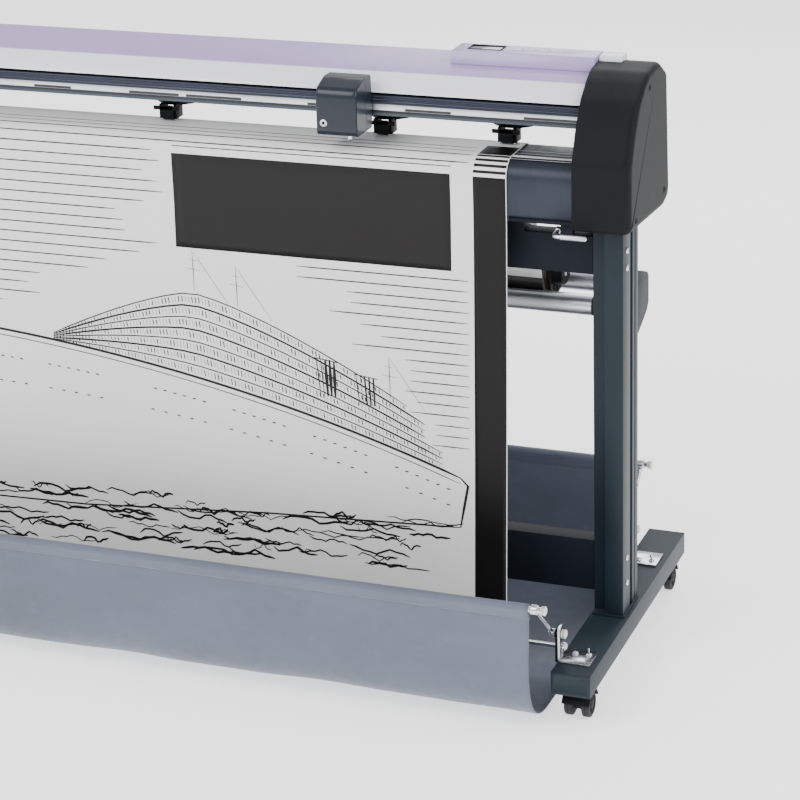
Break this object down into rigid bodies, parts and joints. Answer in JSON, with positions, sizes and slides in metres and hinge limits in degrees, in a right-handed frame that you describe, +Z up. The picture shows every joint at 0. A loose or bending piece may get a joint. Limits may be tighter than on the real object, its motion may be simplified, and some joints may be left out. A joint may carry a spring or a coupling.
{
  "type": "printer cutter",
  "caption": "Roll-fed vinyl cutting plotter on a castered stand: a carriage runs along the head bar over a platen, with a cloth media basket below.",
  "frame": {"origin": "middle of the footprint on the floor, under the four casters", "axes": "+X along the machine to the right as seen from the front, +Y to the rear where the roll is loaded, +Z up"},
  "size_m": [2.05, 0.74, 1.1674],
  "materials": {
    "foot_paint": "satin powder coat",
    "column_paint": "satin powder coat",
    "beam_paint": "satin powder coat",
    "black_plastic": "fine grain",
    "wheel_tread": "matt",
    "bright_steel": "plated",
    "steel": "ground",
    "basket_fabric": "coated woven cloth",
    "bar_aluminium": "satin anodised",
    "roll_vinyl": "smooth film",
    "core_board": "pressed board",
    "sheet_vinyl": "satin film",
    "platen_metal": "brushed and anodised",
    "rail_metal": "smooth",
    "strip_plastic": "smooth",
    "belt_rubber": "matt",
    "white_cover": "smooth moulded",
    "lavender_cover": "smooth moulded",
    "window": "clear over dark",
    "keys": "smooth",
    "carriage_shell": "smooth moulded"
  },
  "bodies": {
    "root": {"foot_right": "foot_paint", "foot_left": "foot_paint", "foot_end_caps": "black_plastic", "column_right": "column_paint", "column_left": "column_paint", "lower_beam": "beam_paint", "upper_beam": "beam_paint", "frame_bolts": "bright_steel", "basket_brackets": "bright_steel", "basket_cloth": "basket_fabric", "roll_stays": "beam_paint", "media_sheet": "sheet_vinyl", "platen": "platen_metal", "cutting_strip": "strip_plastic", "feed_belt": "belt_rubber", "drive_motors": "steel", "head_bar": "platen_metal", "guide_rail": "rail_metal", "scale_strip": "bar_aluminium", "front_strip": "white_cover", "top_cover": "lavender_cover", "panel_housing": "lavender_cover", "lcd_window": "window", "carriage_belt": "belt_rubber", "end_cover_right": "black_plastic", "end_cover_left": "black_plastic", "end_frames": "beam_paint", "power_inlet": "black_plastic"},
    "caster_fr": {"caster_fr": "black_plastic"},
    "wheels_fr": {"wheels_fr": "wheel_tread"},
    "caster_fl": {"caster_fl": "black_plastic"},
    "wheels_fl": {"wheels_fl": "wheel_tread"},
    "caster_rr": {"caster_rr": "black_plastic"},
    "wheels_rr": {"wheels_rr": "wheel_tread"},
    "caster_rl": {"caster_rl": "black_plastic"},
    "wheels_rl": {"wheels_rl": "wheel_tread"},
    "front_basket": {"front_basket_frame": "bright_steel", "front_hem": "basket_fabric"},
    "rear_basket": {"rear_basket_frame": "bright_steel", "rear_hem": "basket_fabric"},
    "media_roll": {"media_roll": "roll_vinyl", "roll_core": "core_board"},
    "roll_bar_front": {"roll_bar_front": "bar_aluminium"},
    "roll_bar_rear": {"roll_bar_rear": "bar_aluminium"},
    "grit_shaft": {"grit_shaft": "steel"},
    "motor_pulley": {"motor_pulley": "bar_aluminium"},
    "pinch_lift": {"pinch_shaft": "steel", "pinch_arms": "black_plastic"},
    "pinch_rollers": {"pinch_rollers": "wheel_tread"},
    "clamp_lever": {"clamp_lever": "bright_steel"},
    "carriage": {"carriage_base": "carriage_shell", "carriage_cover": "carriage_shell"},
    "tool": {"tool_holder": "bar_aluminium", "cutter_pen": "bright_steel"},
    "drive_pulley": {"drive_pulley": "bar_aluminium"},
    "idler_pulley": {"idler_pulley": "bar_aluminium"},
    "key_menu": {"key_menu": "keys"},
    "key_up": {"key_up": "keys"},
    "key_down": {"key_down": "keys"},
    "key_enter": {"key_enter": "keys"}
  },
  "joints": [
    {"name": "swivel_fr", "type": "hinge", "parent": "root", "child": "caster_fr", "pos_m": [0.9775, -0.254, 0.06], "axis": [0, 0, 1], "continuous": true},
    {"name": "roll_fr", "type": "hinge", "parent": "caster_fr", "child": "wheels_fr", "pos_m": [0.9775, -0.24, 0.025], "axis": [1, 0, 0], "continuous": true},
    {"name": "swivel_fl", "type": "hinge", "parent": "root", "child": "caster_fl", "pos_m": [-0.9775, -0.254, 0.06], "axis": [0, 0, 1], "continuous": true},
    {"name": "roll_fl", "type": "hinge", "parent": "caster_fl", "child": "wheels_fl", "pos_m": [-0.9775, -0.24, 0.025], "axis": [1, 0, 0], "continuous": true},
    {"name": "swivel_rr", "type": "hinge", "parent": "root", "child": "caster_rr", "pos_m": [0.9775, 0.318, 0.06], "axis": [0, 0, 1], "continuous": true},
    {"name": "roll_rr", "type": "hinge", "parent": "caster_rr", "child": "wheels_rr", "pos_m": [0.9775, 0.332, 0.025], "axis": [1, 0, 0], "continuous": true},
    {"name": "swivel_rl", "type": "hinge", "parent": "root", "child": "caster_rl", "pos_m": [-0.9775, 0.318, 0.06], "axis": [0, 0, 1], "continuous": true},
    {"name": "roll_rl", "type": "hinge", "parent": "caster_rl", "child": "wheels_rl", "pos_m": [-0.9775, 0.332, 0.025], "axis": [1, 0, 0], "continuous": true},
    {"name": "front_basket_swing", "type": "hinge", "parent": "root", "child": "front_basket", "pos_m": [0, -0.252, 0.168], "axis": [-1, 0, 0], "range_deg": [0, 40]},
    {"name": "rear_basket_swing", "type": "hinge", "parent": "root", "child": "rear_basket", "pos_m": [0, 0.238, 0.168], "axis": [1, 0, 0], "range_deg": [0, 40]},
    {"name": "media_roll_spin", "type": "hinge", "parent": "root", "child": "media_roll", "pos_m": [0, 0.1925, 0.71794], "axis": [1, 0, 0], "continuous": true},
    {"name": "roll_bar_front_spin", "type": "hinge", "parent": "root", "child": "roll_bar_front", "pos_m": [0, 0.125, 0.675], "axis": [1, 0, 0], "continuous": true},
    {"name": "roll_bar_rear_spin", "type": "hinge", "parent": "root", "child": "roll_bar_rear", "pos_m": [0, 0.26, 0.675], "axis": [1, 0, 0], "continuous": true},
    {"name": "feed_spin", "type": "hinge", "parent": "root", "child": "grit_shaft", "pos_m": [0, 0.04, 0.9913], "axis": [1, 0, 0], "continuous": true},
    {"name": "motor_pulley_spin", "type": "hinge", "parent": "root", "child": "motor_pulley", "pos_m": [0.931, 0.136, 1.0653], "axis": [1, 0, 0], "continuous": true},
    {"name": "clamp_lever_turn", "type": "hinge", "parent": "root", "child": "clamp_lever", "pos_m": [0.916, -0.06, 0.88], "axis": [1, 0, 0], "range_deg": [0, 60]},
    {"name": "pinch_lift_turn", "type": "hinge", "parent": "root", "child": "pinch_lift", "pos_m": [0, 0.095, 1.038], "axis": [-1, 0, 0], "range_deg": [0, 12]},
    {"name": "pinch_roller_spin", "type": "hinge", "parent": "pinch_lift", "child": "pinch_rollers", "pos_m": [0, 0.04, 1.0153], "axis": [1, 0, 0], "continuous": true},
    {"name": "carriage_slide", "type": "slide", "parent": "root", "child": "carriage", "axis": [1, 0, 0], "range_m": [-1.27, 0.36]},
    {"name": "tool_drop", "type": "slide", "parent": "carriage", "child": "tool", "axis": [0, 0, -1], "range_m": [0, 0.0025], "stiffness_N_per_m": 400, "springref_m": -0.001},
    {"name": "drive_pulley_spin", "type": "hinge", "parent": "root", "child": "drive_pulley", "pos_m": [0.89, 0.02, 1.104], "axis": [0, 0, 1], "continuous": true},
    {"name": "idler_pulley_spin", "type": "hinge", "parent": "root", "child": "idler_pulley", "pos_m": [-0.89, 0.02, 1.104], "axis": [0, 0, 1], "continuous": true},
    {"name": "key_menu_press", "type": "slide", "parent": "root", "child": "key_menu", "axis": [0, 0, -1], "range_m": [0, 0.0015], "stiffness_N_per_m": 300, "springref_m": -0.0005},
    {"name": "key_up_press", "type": "slide", "parent": "root", "child": "key_up", "axis": [0, 0, -1], "range_m": [0, 0.0015], "stiffness_N_per_m": 300, "springref_m": -0.0005},
    {"name": "key_down_press", "type": "slide", "parent": "root", "child": "key_down", "axis": [0, 0, -1], "range_m": [0, 0.0015], "stiffness_N_per_m": 300, "springref_m": -0.0005},
    {"name": "key_enter_press", "type": "slide", "parent": "root", "child": "key_enter", "axis": [0, 0, -1], "range_m": [0, 0.0015], "stiffness_N_per_m": 300, "springref_m": -0.0005}
  ],
  "couplings": [
    {"joint": "pinch_lift_turn", "follows": "clamp_lever_turn", "ratio": 0.2},
    {"joint": "roll_bar_front_spin", "follows": "media_roll_spin", "ratio": -3},
    {"joint": "roll_bar_rear_spin", "follows": "media_roll_spin", "ratio": -3},
    {"joint": "motor_pulley_spin", "follows": "feed_spin", "ratio": 2.2222},
    {"joint": "pinch_roller_spin", "follows": "feed_spin", "ratio": -1.4444},
    {"joint": "drive_pulley_spin", "follows": "carriage_slide", "rad_per_m": 100},
    {"joint": "idler_pulley_spin", "follows": "carriage_slide", "rad_per_m": 100}
  ]
}
